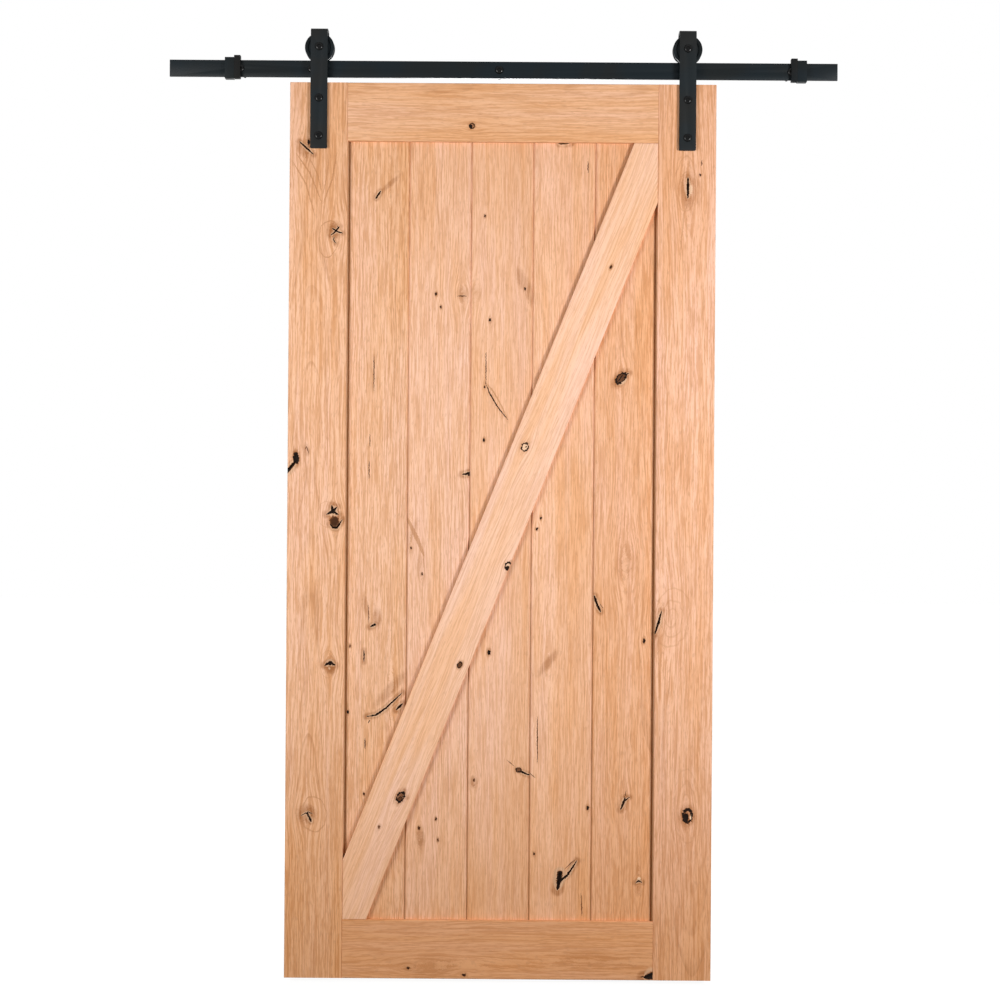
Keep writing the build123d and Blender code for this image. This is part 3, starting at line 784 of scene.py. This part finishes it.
def wood(name, seed, groups):
    """Alder for one plank: the rings and fibres of its log, and its own knots and cracks."""
    material, g, shader = new_material(f"alder_{name}")
    across_axis, along_axis, _ = plank_axes(name)
    cut = GRAIN[name]
    local = g.local()
    across = g.dot(local, across_axis)
    along = g.dot(local, along_axis)
    axes = g.add("ShaderNodeSeparateXYZ", {"Vector": local}).outputs
    depth, height = axes["Y"], axes["Z"]
    front = g.fade(g.minus(depth, front_face(name)), *FRONT_ONLY)
    marks = plank_marks(g, name, g.combine(across, along), front, groups)

    def stretched(across_scale, along_scale, offset=0.0):
        beside = g.times(across, across_scale)
        onward = g.times(along, along_scale)
        return g.combine(beside, onward, offset)

    # Grain that wanders, and flows round the knots
    bent = g.plus(across, g.swing(stretched(*WANDER_SCALES, seed), WANDER))
    bent = g.plus(bent, g.swing(stretched(*RIPPLE_SCALES, seed), RIPPLE))
    bent = g.minus(bent, marks["Pull"])
    late = ring_lines(g, name, bent, along, depth, seed)

    def drawn(line, fine, long, detail=1.0):
        """Noise drawn out along the grain."""
        scaled = ((line, fine), (along, long), (depth, fine))
        place = [g.times(value, scale) for value, scale in scaled]
        return g.noise(g.combine(*place), 1.0, detail, 0.6)

    fibre = drawn(bent, *FIBRE_SCALES, detail=2.0)
    fine = drawn(bent, *FINE_SCALES)
    flecks = g.smooth(drawn(bent, *FLECK_SCALES), *FLECK_FROM)
    contour = g.math("FRACT", g.times(drawn(bent, *STRAND_SCALES), STRANDS))
    strand = g.fade(g.math("ABSOLUTE", g.minus(contour, 0.5)), *STRAND_EDGE)

    # Colour
    cloud = g.times(g.noise(stretched(*CLOUD_SCALES, seed * 1.7)), 0.5)
    cloud = g.times_plus(g.noise(stretched(*STREAK_SCALES, seed * 2.3)), 0.5, cloud)
    colour = g.mix(g.smooth(cloud, *ALDER_FROM), rgba(BLUSH), rgba(ALDER))
    colour = g.mix(g.smooth(cloud, *HONEY_FROM), colour, rgba(HONEY))
    colour = g.mix(1.0, colour, rgba(cut["tint"]), "MULTIPLY")
    if name in GLUE_LINES:
        pixel, tint = GLUE_LINES[name]
        past = g.minus(axes["X"], on_face(pixel, front_face(name)).x)
        colour = g.shade(g.smooth(past, *GLUE_BLUR), colour, tint)
    below = g.times(height, -1.0)
    # Painted shade towards the bottom of the door and in a band near its top
    top = g.smooth(below, *TOP_SHADE_FROM, 0.0, TOP_SHADE_SHARE)
    ends = g.math("MAXIMUM", g.smooth(below, *LOW_SHADE_FROM), top)
    colour = g.shade(g.times(ends, cut["amber"]), colour, END_SHADE_FILTER)
    colour = g.mix(g.times(late, LATE_SHARE * cut["grain"]), colour, rgba(LATEWOOD))
    colour = g.shade(g.times(strand, STRAND_SHARE * cut["grain"]), colour, STRAND_SHADE)
    lines = g.times_plus(fibre, FIBRE_WEIGHT, g.times(fine, 1.0 - FIBRE_WEIGHT))
    lines = g.smooth(lines, *FIBRE_FROM, 0.0, cut["grain"])
    colour = g.shade(lines, colour, FIBRE_SHADE)
    colour = g.mix(g.times(flecks, FLECK_SHARE * cut["grain"]), colour, rgba(FLECK))
    if name.startswith("panel"):
        # Painted shade on the panel beside the stiles and beside one long edge of the brace
        for direction, reach, full, none in shaded_edges():
            gap = g.minus(g.dot(local, direction), reach)
            edge_shade = g.smooth(g.math("ABSOLUTE", gap), full, none, EDGE_SHADE_SHARE, 0.0)
            colour = g.mix(g.times(edge_shade, front), colour, rgba(EDGE_SHADE_COLOUR))
        # Painted shade in the vee grooves, stronger towards the bottom of the door
        sunk = g.smooth(g.minus(depth, front_face(name)), *VEE_SHADE_DEPTH)
        share = g.times(g.smooth(below, *VEE_SHADE_FROM, *VEE_SHADE_SHARES), front)
        colour = g.mix(g.times(sunk, share), colour, rgba(VEE_SHADE))
    streaks = g.times_plus(g.smooth(fibre, 0.35, 0.65), 0.6, 0.55)
    warmth = g.times(marks["Halo"], streaks)
    colour = g.mix(g.math("MINIMUM", warmth, HALO_MOST), colour, rgba(HALO))
    colour = g.mix(g.times(marks["Ring"], RING_SHARE), colour, rgba(LATEWOOD))
    # Paler wood in knots and beside cracks, partly a painted highlight
    colour = g.mix(g.times(marks["Pale"], PALE_AND_HIGHLIGHT_SHARE), colour, rgba(PALE_AND_HIGHLIGHT))
    black = g.times(marks["Core"], g.times_plus(fine, 0.3, 0.9))
    colour = g.mix(g.smooth(black, *FRINGE_FROM, 0.0, 0.9), colour, rgba(FRINGE))
    g.feed(shader.inputs["Base Color"], g.mix(g.smooth(black, *BARK_FROM), colour, rgba(BARK)))

    # Surface
    g.feed(shader.inputs["Roughness"], g.times_plus(fibre, *WOOD_ROUGHNESS))
    shader.inputs["Specular IOR Level"].default_value = WOOD_GLOSS
    g.raise_by(drawn(across, *RELIEF_SCALES), RELIEF, shader)
    return material


# Metal and rubber
def coat(name, colour, rough, gloss, grain_size, relief):
    """A black finish with a fine orange-peel surface."""
    material, g, shader = new_material(name)
    local = g.local()
    cloud = g.noise(local, 9.0, 3.0)
    peel = g.noise(local, 1.0 / grain_size, 2.0)
    warm = rgba([c * k for c, k in zip(colour, WARM_COAT)])
    cool = rgba([c * k for c, k in zip(colour, COOL_COAT)])
    base = g.mix(g.smooth(cloud, 0.38, 0.62), warm, cool)
    base = g.mix(1.0, base, g.times_plus(peel, 0.5, 0.75), "MULTIPLY")
    g.feed(shader.inputs["Base Color"], base)
    uneven = g.minus(cloud, 0.5)
    g.feed(shader.inputs["Roughness"], g.times_plus(uneven, 0.18, rough))
    shader.inputs["Specular IOR Level"].default_value = gloss
    g.raise_by(peel, relief, shader)
    return material


def bare_steel():
    """Ground steel of the bearing races, turned about the axle."""
    material, g, shader = new_material("bearing_steel")
    local = g.local()
    scratch = g.noise(g.vector("MULTIPLY", local, SCRATCH_SCALES), 1.0, 2.0)
    g.feed(shader.inputs["Base Color"], g.mix(scratch, *map(rgba, BARE_STEEL)))
    shader.inputs["Metallic"].default_value = 1.0
    g.feed(shader.inputs["Roughness"], g.times_plus(scratch, 0.2, 0.22))
    return material


# Meshes
def clean_copy(name):
    """A welded copy of a node's mesh, its flat faces made whole."""
    mesh = bmesh.new()
    mesh.from_mesh(nodes[name].data)
    bmesh.ops.remove_doubles(mesh, verts=mesh.verts, dist=1e-6)
    bmesh.ops.dissolve_limit(mesh, angle_limit=math.radians(0.4), verts=mesh.verts, edges=mesh.edges)
    return mesh


def solid_boxes(name):
    """The lowest and highest corner of each solid in a node, from left to right."""
    mesh = clean_copy(name)
    left = set(mesh.verts)
    boxes = []
    while left:
        reached = {left.pop()}
        waiting = list(reached)
        while waiting:
            vertex = waiting.pop()
            near = {edge.other_vert(vertex) for edge in vertex.link_edges} - reached
            reached |= near
            waiting += near
        left -= reached
        corners = [[extreme(v.co[axis] for v in reached) for axis in range(3)] for extreme in (min, max)]
        boxes.append(tuple(Vector(corner) for corner in corners))
    mesh.free()
    return sorted(boxes, key=lambda box: (box[0].x, box[0].z))


def piece_from(mesh, name):
    data = bpy.data.meshes.new(name)
    mesh.to_mesh(data)
    mesh.free()
    piece = bpy.data.objects.new(name, data)
    bpy.context.scene.collection.objects.link(piece)
    return piece


def settle(piece):
    """Makes a piece's bevels and cuts part of its mesh."""
    bpy.context.view_layer.update()
    shown = piece.evaluated_get(bpy.context.evaluated_depsgraph_get())
    done = bpy.data.meshes.new_from_object(shown)
    piece.modifiers.clear()
    old = piece.data
    piece.data = done
    bpy.data.meshes.remove(old)


def ease(piece, width, segments, angle=30.0):
    bevel = piece.modifiers.new("ease", "BEVEL")
    bevel.width = width
    bevel.segments = segments
    bevel.limit_method = "ANGLE"
    bevel.angle_limit = math.radians(angle)
    bevel.use_clamp_overlap = True


def soften(piece, angle=35.0):
    """Smooth shading with the corners kept."""
    piece.data.shade_smooth()
    piece.data.set_sharp_from_angle(angle=math.radians(angle))


def body_of(name):
    return nodes[name]["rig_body"]


def slot_of(name):
    return next(part["material_slot"] for part in frame["record"]["subparts"] if part["node"] == name)


def stand_in(piece, name, material):
    """The piece takes a node's place, with its own finish."""
    piece.data.materials.clear()
    piece.data.materials.append(material)
    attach(piece, body_of(name))
    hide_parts(name)
    slot_of(name)


def hash_unit(*values):
    """A steady pseudo-random number from 0 to 1."""
    return math.sin(sum(v * k for v, k in zip(values, (12.9898, 78.233, 37.719)))) * 43758.5453 % 1.0


# Open knots and cracks
def knot_pit(mesh, centre, half, depth):
    """A ragged bowl, to be cut out at an open knot."""
    rim, rings = PIT_RIM, PIT_RINGS
    loops = []
    for level in range(rings):
        share = level / rings
        loop = []
        for step in range(rim):
            angle = 2 * math.pi * step / rim
            ragged = 0.72 + 0.45 * hash_unit(centre.x, centre.z, step)
            size = ragged * PIT_SHARE * math.sqrt(1 - share * share)
            offset = Vector((half[0] * math.cos(angle), 0, half[1] * math.sin(angle))) * size
            sunk = Vector((0, PIT_TOP + share * (depth - PIT_TOP), 0))
            loop.append(mesh.verts.new(centre + offset + sunk))
        loops.append(loop)
    bottom = mesh.verts.new(centre + Vector((0, depth, 0)))
    mesh.faces.new(loops[0])
    for upper, lower in zip(loops, loops[1:]):
        for step in range(rim):
            after = (step + 1) % rim
            mesh.faces.new((upper[after], upper[step], lower[step], lower[after]))
    for step in range(rim):
        mesh.faces.new((loops[-1][(step + 1) % rim], loops[-1][step], bottom))


def crack_pit(mesh, points, mark):
    """A wavering wedge, to be cut out along a crack."""
    stations = 4 * len(points)
    rows = []
    for step in range(stations + 1):
        share = step / stations
        run = min(int(share * (len(points) - 1)), len(points) - 2)
        start, end = points[run], points[run + 1]
        side = (end - start).cross(Vector((0, 1, 0))).normalized()
        whole = mark["head"] + (mark["tail"] - mark["head"]) * share
        swell = 0.1 + 0.9 * max(math.sin(math.pi * whole), 0.0) ** SWELL_POWER
        half = CRACK_PIT_SHARE * mark["width"] * swell * (0.75 + 0.5 * hash_unit(end.x, end.z, step))
        waver = (hash_unit(start.x, start.z, step) - 0.5) * CRACK_WAVER * mark["width"]
        middle = start.lerp(end, share * (len(points) - 1) - run) + side * waver
        top = Vector((0, PIT_TOP, 0))
        sunk = Vector((0, mark["pit"] * swell, 0))
        corners = (middle - side * half + top, middle + side * half + top, middle + sunk)
        rows.append([mesh.verts.new(corner) for corner in corners])
    mesh.faces.new(rows[0])
    mesh.faces.new(rows[-1][::-1])
    for row, following in zip(rows, rows[1:]):
        for step in range(3):
            after = (step + 1) % 3
            mesh.faces.new((row[step], following[step], following[after], row[after]))


def carve(piece, name):
    """Cuts the open knots and cracks of a plank into its front face."""
    along = along_grain(name)
    for mark in MARKS.get(name, []):
        if not mark["pit"]:
            continue
        points = [on_face(pixel, front_face(name)) for pixel in mark["pixels"]]
        mesh = bmesh.new()
        if "half" in mark:
            half = mark["half"] if abs(along.z) > 0.5 else mark["half"][::-1]
            knot_pit(mesh, points[0], half, mark["pit"])
        else:
            crack_pit(mesh, points, mark)
        bmesh.ops.recalc_face_normals(mesh, faces=mesh.faces)
        cutter = piece_from(mesh, f"cutter_{name}")
        cut = piece.modifiers.new("pit", "BOOLEAN")
        cut.object = cutter
        cut.operation = "DIFFERENCE"
        cut.solver = "EXACT"
        settle(piece)
        bpy.data.objects.remove(cutter)


def make_planks():
    groups = {"knot": knot_group(), "crack": crack_group()}
    for seed, name in enumerate(GRAIN):
        plank = piece_from(clean_copy(name), f"{name}_plank")
        ease(plank, PLANK_EDGE, 2)
        settle(plank)
        carve(plank, name)
        stand_in(plank, name, wood(name, 4.7 * seed + 1.3, groups))
        plank.data.shade_flat()


# Turned pieces
def hexagon(corner_r):
    """The radius of a hexagon by angle, with a corner at angle 0."""
    flat_r = corner_r * math.cos(math.pi / 6)
    return lambda angle: flat_r / math.cos(angle % (math.pi / 3) - math.pi / 6)


def lathe(mesh, box, outline, steps=TURN_STEPS, closed=False):
    """Turns (depth, radius) pairs about the box's middle; a radius may depend on the angle."""
    centre = (box[0] + box[1]) / 2
    rows = []
    for depth, radius in outline:
        row = []
        for step in range(steps):
            angle = 2 * math.pi * step / steps
            reach = radius(angle) if callable(radius) else radius
            x = centre.x + reach * math.cos(angle)
            z = centre.z + reach * math.sin(angle)
            row.append(mesh.verts.new((x, depth, z)))
        rows.append(row)
    pairs = list(zip(rows, rows[1:]))
    if closed:
        pairs.append((rows[-1], rows[0]))
    else:
        mesh.faces.new(rows[0])
        mesh.faces.new(rows[-1][::-1])
    for row, following in pairs:
        for step in range(steps):
            after = (step + 1) % steps
            mesh.faces.new((row[step], row[after], following[after], following[step]))


def button_head(front):
    """From the floor of the socket, over the dome, to the seat."""
    socket = hexagon(SOCKET_R)
    floor_y = front + SOCKET_DEPTH
    lip = 0.35 * MM
    start = math.asin((SOCKET_R + 2 * lip) / HEAD_R)
    outline = [
        (floor_y + 0.3 * MM, lambda angle: 0.25 * socket(angle)),
        (floor_y, lambda angle: 0.96 * socket(angle)),
        (front + lip, socket),
        (front, lambda angle: socket(angle) + lip),
    ]
    arc = 9
    for step in range(arc + 1):
        turn = start + (math.pi / 2 - start) * step / arc
        outline.append((front + HEAD_DOME * (math.cos(start) - math.cos(turn)), HEAD_R * math.sin(turn)))
    seat = front + HEAD_HEIGHT
    return outline + [(seat, HEAD_R - 0.15 * MM)]


def plain_shank(seat, end, radius):
    nose = 0.6 * MM
    return [(seat, radius), (end - nose, radius), (end, radius - nose)]


def lag_shank(seat, end, radius):
    """A shank that turns into a coarse wood thread at the wall, and tapers to a point."""
    outline = [(seat, radius), (-0.4 * MM, radius)]
    rows_per_turn = 8
    rows = int(end / THREAD_PITCH * rows_per_turn)

    def crest(depth):
        taper = max(min((end - depth) / POINT_LENGTH, 1.0), 0.06)

        def radius_at(angle):
            phase = (depth / THREAD_PITCH - angle / (2 * math.pi)) % 1.0
            ridge = max(0.0, 1.0 - abs(phase - 0.5) / 0.3)
            return taper * (THREAD_ROOT_R + (THREAD_CREST_R - THREAD_ROOT_R) * ridge)

        return radius_at

    return outline + [(end * row / rows, crest(end * row / rows)) for row in range(rows + 1)]


def bolt(mesh, box, radius, shank):
    low, high = box
    outline = button_head(low.y)
    lathe(mesh, box, outline + shank(low.y + HEAD_HEIGHT, high.y, radius))


def nut(mesh, box, bore):
    """A hexagon nut, its corners chamfered on the outer face."""
    low, high = box
    corner_r = (high.x - low.x) / 2
    flats = hexagon(corner_r)
    flat_r = corner_r * math.cos(math.pi / 6)
    slope = math.tan(math.pi / 6)
    edge = 0.2 * MM
    mouth = 0.5 * MM
    outline = [
        (low.y, bore),
        (low.y, flats),
        (high.y - (corner_r - flat_r) * slope - edge, flats),
        (high.y - edge / 2, lambda angle: min(flats(angle), flat_r + edge)),
        (high.y, 0.96 * flat_r),
        (high.y, bore + mouth),
        (high.y - mouth, bore),
    ]
    lathe(mesh, box, outline, closed=True)


def spacer(mesh, box):
    low, high = box
    outer = (high.x - low.x) / 2
    bore = BOLT_R + BORE_SLACK
    edge = 0.5 * MM
    outline = [
        (low.y, bore),
        (low.y, outer - edge),
        (low.y + edge, outer),
        (high.y - edge, outer),
        (high.y, outer - edge),
        (high.y, bore),
    ]
    lathe(mesh, box, outline, closed=True)


def set_screw(mesh, box):
    low, high = box
    outer = (high.x - low.x) / 2
    socket = hexagon(SET_SOCKET_R)
    tip = 0.6 * MM
    edge = 0.4 * MM
    outline = [
        (low.y, outer - tip),
        (low.y + tip, outer),
        (high.y - edge, outer),
        (high.y, outer - edge),
        (high.y, socket),
        (high.y - SET_SOCKET_DEPTH, socket),
    ]
    lathe(mesh, box, outline)


def wheel(mesh, box, bore):
    """A dished wheel with rounded flanges and a grooved tread."""
    low, high = box
    middle = (low + high) / 2
    rim_r = (high.x - low.x) / 2
    half = (high.y - low.y) / 2
    round_r = 1.2 * MM
    step_r = 0.8 * MM

    def side(sign):
        arc = 4
        outline = [
            (half - FACE_RECESS, bore),
            (half - FACE_RECESS, bore + 2.5 * MM),
            (half - 1.25 * FACE_RECESS, bore + 4.0 * MM),
            (half - 1.25 * FACE_RECESS, FACE_RIM_R - 2.0 * step_r),
            (half - 0.4 * FACE_RECESS, FACE_RIM_R - 0.4 * step_r),
            (half, FACE_RIM_R + step_r),
        ]
        for step in range(arc + 1):
            turn = math.pi / 2 * step / arc
            reach = rim_r - round_r + round_r * math.sin(turn)
            outline.append((half - round_r + round_r * math.cos(turn), reach))
        outline += [
            (MOUTH_HALF + 0.6 * MM, rim_r),
            (MOUTH_HALF, rim_r - 0.5 * MM),
            (GROOVE_HALF + 0.1 * MM, TREAD_R + 0.6 * MM),
            (GROOVE_HALF - 0.5 * MM, TREAD_R),
        ]
        return [(middle.y + sign * depth, radius) for depth, radius in outline]

    lathe(mesh, box, side(-1) + side(1)[::-1], WHEEL_STEPS, closed=True)


def bearing(mesh, box):
    """Outer race, sunk shield and inner race on each side."""
    low, high = box
    outer = (high.x - low.x) / 2
    bore = AXLE_R + BORE_SLACK / 5
    shield = 0.6 * MM
    edge = 0.3 * MM

    def side(face, inward):
        return [
            (face, bore),
            (face, bore + RACE_WIDTH),
            (face + inward * shield, bore + RACE_WIDTH + edge),
            (face + inward * shield, outer - RACE_WIDTH - edge),
            (face, outer - RACE_WIDTH),
            (face, outer - edge),
            (face + inward * edge, outer),
        ]

    lathe(mesh, box, side(low.y, 1) + side(high.y, -1)[::-1], closed=True)


# How each turned piece is made, and with which bore or shank
TURNED = {
    "track_bolts": (bolt, BOLT_R, lag_shank),
    "hanger_bolts": (bolt, BOLT_R, plain_shank),
    "axle_bolts": (bolt, AXLE_R, plain_shank),
    "hanger_nuts": (nut, BOLT_R),
    "axle_nuts": (nut, AXLE_R),
    "wall_spacers": (spacer,),
    "stop_screws": (set_screw,),
    "left_wheel": (wheel, BEARING_R),
    "right_wheel": (wheel, BEARING_R),
    "left_wheel_bearing": (bearing,),
    "right_wheel_bearing": (bearing,),
}


def make_hardware():
    finishes = {slot: coat(*row) for slot, row in COATS.items()}
    finishes["bare_steel"] = bare_steel()
    for name in nodes:
        if name in GRAIN:
            continue
        if name in TURNED:
            mesh = bmesh.new()
            make, *sizes = TURNED[name]
            for box in solid_boxes(name):
                make(mesh, box, *sizes)
            bmesh.ops.recalc_face_normals(mesh, faces=mesh.faces)
            piece = piece_from(mesh, f"{name}_piece")
        else:
            piece = piece_from(clean_copy(name), f"{name}_piece")
            ease(piece, METAL_EDGE, 3)
            settle(piece)
        soften(piece)
        finish = "hanger_steel" if name.endswith("hanger_strap") else slot_of(name)
        stand_in(piece, name, finishes[finish])


# Stage
def seen(g):
    """1 on rays from the camera, straight or by gloss or glass, and 0 on rays that light the object."""
    path = g.add("ShaderNodeLightPath").outputs
    gloss = g.math("MAXIMUM", path["Is Glossy Ray"], path["Is Transmission Ray"])
    return g.math("MAXIMUM", path["Is Camera Ray"], gloss)


def floor():
    """A pale floor that keeps the object's shadow and fades to white away from it."""
    mesh = bmesh.new()
    bmesh.ops.create_grid(mesh, x_segments=1, y_segments=1, size=FLOOR_SIDE / 2)
    plane = piece_from(mesh, "floor")
    plane.location = (0.0, 0.0, cad_box[0].z - FLOOR_GAP)
    material, g, shader = new_material("pale_floor")
    material.node_tree.nodes.remove(shader)
    diffuse = g.add("ShaderNodeBsdfDiffuse", {"Color": rgba((FLOOR_DIFFUSE,) * 3)})
    away = g.vector("LENGTH", g.local())
    level = g.smooth(away, *FLOOR_FADE, FLOOR_GLOW, 1.0)
    glow = g.add("ShaderNodeEmission", {"Strength": g.times(seen(g), level)})
    both = g.add("ShaderNodeAddShader", {0: diffuse.outputs[0], 1: glow.outputs[0]})
    g.feed(material.node_tree.nodes["Material Output"].inputs["Surface"], both.outputs[0])
    plane.data.materials.append(material)


def world():
    sky = bpy.data.worlds.new("white_room")
    sky.use_nodes = True
    g = Graph(sky.node_tree)
    background = sky.node_tree.nodes["Background"]
    background.inputs["Color"].default_value = (1.0, 1.0, 1.0, 1.0)
    level = g.times_plus(seen(g), 1.0 - AMBIENT, AMBIENT)
    g.feed(background.inputs["Strength"], level)
    bpy.context.scene.world = sky


def soft_light(name, place, watts, width, height):
    data = bpy.data.lights.new(name, "AREA")
    data.shape = "RECTANGLE"
    data.size = width
    data.size_y = height
    data.energy = watts
    lamp = bpy.data.objects.new(name, data)
    lamp.location = place
    lamp.rotation_euler = (LIGHTS_AIM - lamp.location).to_track_quat("-Z", "Y").to_euler()
    bpy.context.scene.collection.objects.link(lamp)


def camera():
    right, up, forward = camera_axes()
    data = bpy.data.cameras.new("camera")
    data.sensor_width = SENSOR_MM
    data.lens = FOCAL_PIXELS / IMAGE_SIDE * SENSOR_MM
    eye = bpy.data.objects.new("camera", data)
    turn = Matrix((right, up, -forward)).transposed().to_4x4()
    eye.matrix_world = Matrix.Translation(CAMERA_PLACE) @ turn
    bpy.context.scene.collection.objects.link(eye)
    bpy.context.scene.camera = eye


make_planks()
make_hardware()
floor()
world()
soft_light("key", **KEY_LIGHT)
soft_light("fill", **FILL_LIGHT)
soft_light("back", **BACK_LIGHT)
camera()
bpy.context.scene.view_settings.view_transform = "Standard"
